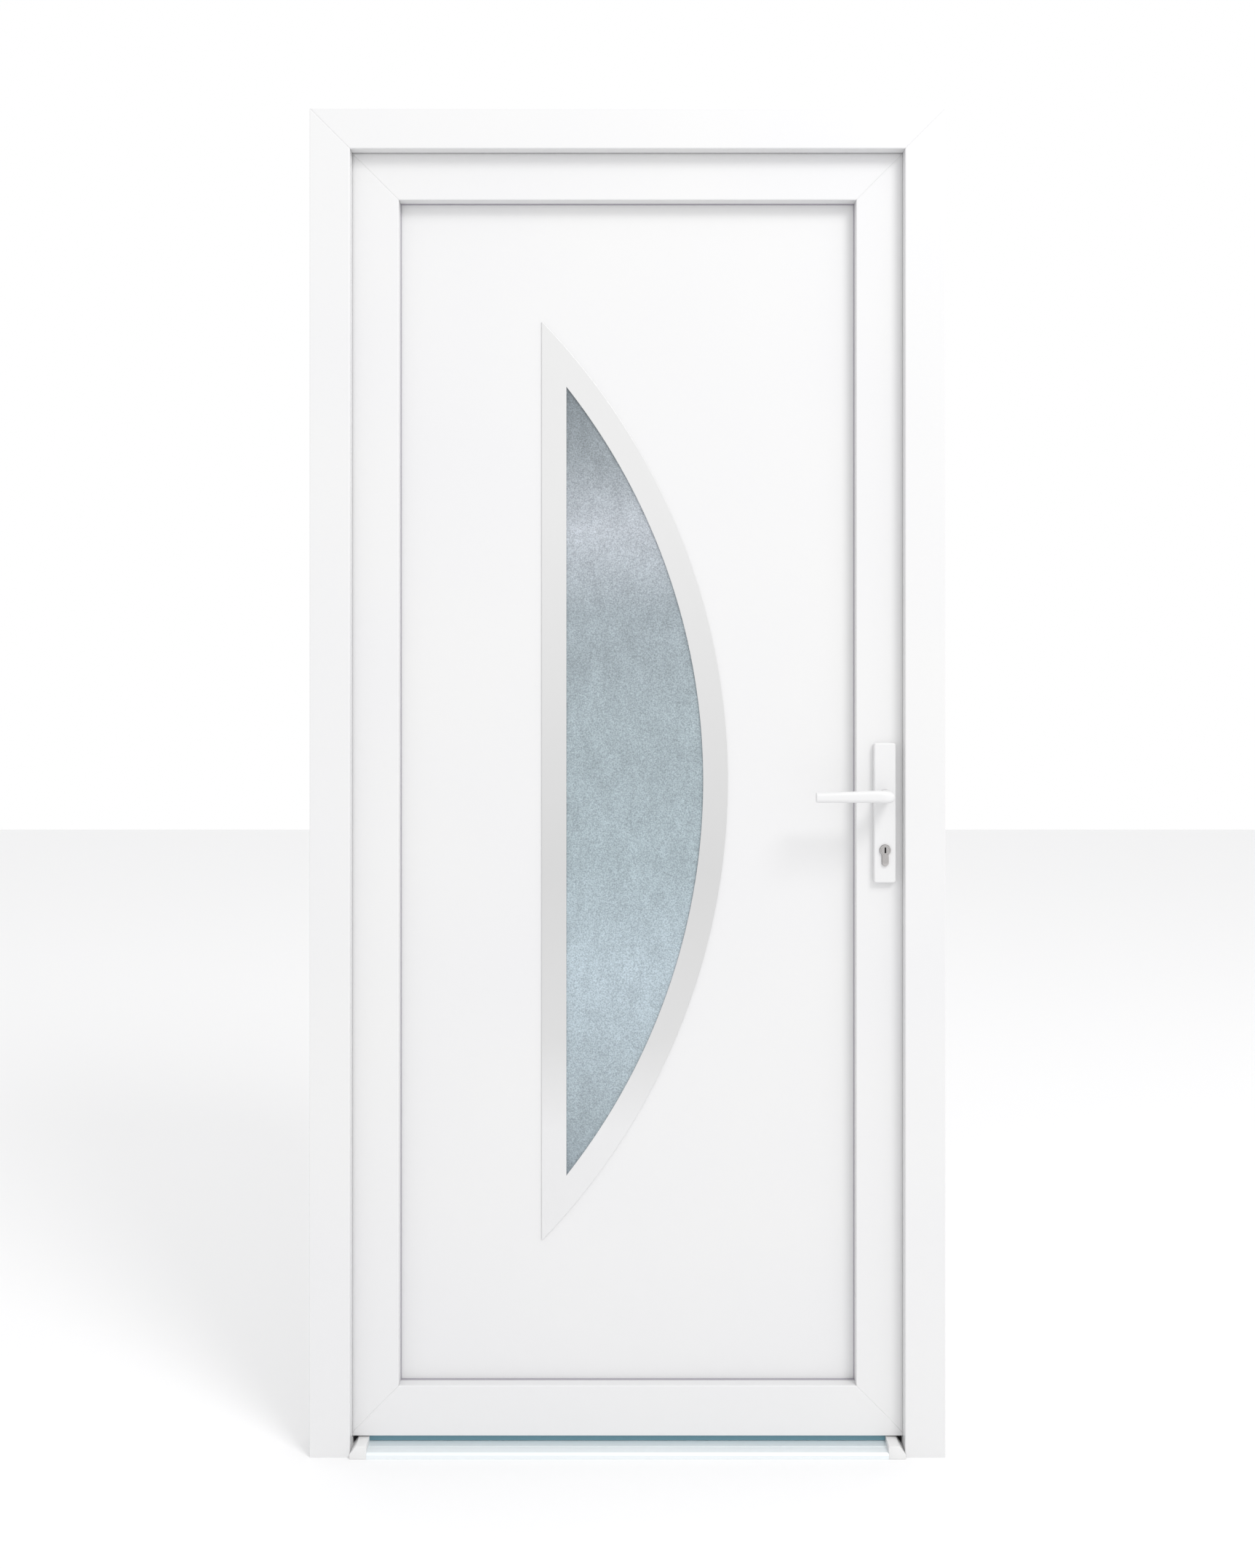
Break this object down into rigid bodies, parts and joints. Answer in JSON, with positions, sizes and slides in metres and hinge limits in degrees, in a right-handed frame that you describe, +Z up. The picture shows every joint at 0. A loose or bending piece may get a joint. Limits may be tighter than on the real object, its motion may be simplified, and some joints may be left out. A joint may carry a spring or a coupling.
{
  "type": "entrance door",
  "caption": "White plastic entrance door set with a half-moon glazed infill panel, low aluminium threshold, surface hinges, lever handles and a multi-point lock.",
  "frame": {"origin": "on the floor under the threshold, midway between the jambs and midway through the frame's 70 mm depth", "axes": "+X from the hinge side to the lock side as seen from outside, +Y from outside to the room, +Z up"},
  "size_m": [0.98, 0.194, 2.08],
  "materials": {
    "white_pvc": "satin",
    "panel_white": "satin",
    "galvanised_steel": "satin",
    "black_seal": "matte",
    "grey_seal": "matte",
    "aluminium_rail": "satin",
    "thermal_break_black": "matte",
    "foam": "matte",
    "brushed_trim": "satin",
    "textured_glass": "gloss",
    "clear_glass": "gloss",
    "spacer_metal": "satin",
    "packer_plastic": "matte",
    "zinc_steel": "satin",
    "screw_steel": "satin",
    "nickel": "satin",
    "brass_cam": "satin",
    "white_coated_metal": "satin"
  },
  "bodies": {
    "frame": {"frame_head": "white_pvc", "frame_jamb_hinge_side": "white_pvc", "frame_jamb_lock_side": "white_pvc", "frame_steel": "galvanised_steel", "frame_seal": "black_seal", "threshold_outer": "aluminium_rail", "threshold_break": "thermal_break_black", "threshold_inner": "aluminium_rail", "threshold_cap_hinge_side": "white_pvc", "threshold_cap_lock_side": "white_pvc", "threshold_seal": "black_seal", "centre_keep": "zinc_steel", "hook_keeps": "zinc_steel", "frame_screws": "screw_steel", "lower_hinge_frame_wing": "white_coated_metal", "middle_hinge_frame_wing": "white_coated_metal", "upper_hinge_frame_wing": "white_coated_metal", "hinge_pins": "zinc_steel"},
    "leaf": {"leaf_top_rail": "white_pvc", "leaf_bottom_rail": "white_pvc", "leaf_hinge_stile": "white_pvc", "leaf_lock_stile": "white_pvc", "leaf_steel": "galvanised_steel", "leaf_seal": "black_seal", "panel_outer_skin": "panel_white", "panel_core": "foam", "panel_inner_skin": "panel_white", "infill_seal_outer": "grey_seal", "infill_seal_inner": "grey_seal", "glazing_beads": "white_pvc", "panel_packers": "packer_plastic", "outer_trim": "brushed_trim", "inner_trim": "brushed_trim", "glass_outer_pane": "textured_glass", "glass_inner_pane": "clear_glass", "glass_spacer": "spacer_metal", "lower_hinge_leaf_wing": "white_coated_metal", "middle_hinge_leaf_wing": "white_coated_metal", "upper_hinge_leaf_wing": "white_coated_metal", "lock_faceplate": "zinc_steel", "lock_case": "zinc_steel", "hook_cases": "zinc_steel", "cylinder_body": "nickel", "outer_backplate": "white_coated_metal", "inner_backplate": "white_coated_metal", "handle_bolts": "screw_steel", "leaf_screws": "screw_steel"},
    "handle": {"outer_lever": "white_coated_metal", "inner_lever": "white_coated_metal", "spindle": "zinc_steel", "lock_follower": "zinc_steel"},
    "latch": {"latch_bolt": "nickel"},
    "deadbolt": {"deadbolt": "nickel"},
    "upper_hook": {"upper_hook": "zinc_steel"},
    "lower_hook": {"lower_hook": "zinc_steel"},
    "upper_rod": {"upper_drive_rod": "zinc_steel"},
    "lower_rod": {"lower_drive_rod": "zinc_steel"},
    "key_plug": {"outer_plug": "nickel", "cylinder_cam": "brass_cam"},
    "inner_plug": {"inner_plug": "nickel"}
  },
  "joints": [
    {"name": "leaf_swing", "type": "hinge", "parent": "frame", "child": "leaf", "pos_m": [-0.462, 0.066, 1.035], "axis": [0, 0, 1], "range_deg": [0, 110]},
    {"name": "lever_turn", "type": "hinge", "parent": "leaf", "child": "handle", "pos_m": [0.399, 0.021, 1.02], "axis": [0, -1, 0], "range_deg": [0, 45], "stiffness_Nm_per_rad": 2, "springref_deg": -20.05},
    {"name": "latch_slide", "type": "slide", "parent": "leaf", "child": "latch", "axis": [-1, 0, 0], "range_m": [0, 0.0105]},
    {"name": "key_turn", "type": "hinge", "parent": "leaf", "child": "key_plug", "pos_m": [0.399, 0.021, 0.935], "axis": [0, 1, 0], "range_deg": [0, 360]},
    {"name": "deadbolt_slide", "type": "slide", "parent": "leaf", "child": "deadbolt", "axis": [1, 0, 0], "range_m": [0, 0.02]},
    {"name": "upper_rod_slide", "type": "slide", "parent": "leaf", "child": "upper_rod", "axis": [0, 0, 1], "range_m": [0, 0.018]},
    {"name": "lower_rod_slide", "type": "slide", "parent": "leaf", "child": "lower_rod", "axis": [0, 0, -1], "range_m": [0, 0.018]},
    {"name": "upper_hook_swing", "type": "hinge", "parent": "leaf", "child": "upper_hook", "pos_m": [0.413, 0.021, 1.7], "axis": [0, 1, 0], "range_deg": [0, 90]},
    {"name": "lower_hook_swing", "type": "hinge", "parent": "leaf", "child": "lower_hook", "pos_m": [0.413, 0.021, 0.32], "axis": [0, -1, 0], "range_deg": [0, 90]},
    {"name": "inner_plug_turn", "type": "hinge", "parent": "leaf", "child": "inner_plug", "pos_m": [0.399, 0.045, 0.935], "axis": [0, 1, 0], "range_deg": [0, 360]}
  ],
  "couplings": [
    {"joint": "latch_slide", "follows": "lever_turn", "m_per_rad": 0.013368},
    {"joint": "key_turn", "follows": "upper_rod_slide", "rad_per_m": 349.03},
    {"joint": "deadbolt_slide", "follows": "upper_rod_slide", "ratio": 1.111},
    {"joint": "lower_rod_slide", "follows": "upper_rod_slide", "ratio": 0.9999},
    {"joint": "upper_hook_swing", "follows": "upper_rod_slide", "rad_per_m": 87.258},
    {"joint": "lower_hook_swing", "follows": "upper_rod_slide", "rad_per_m": 87.258}
  ]
}
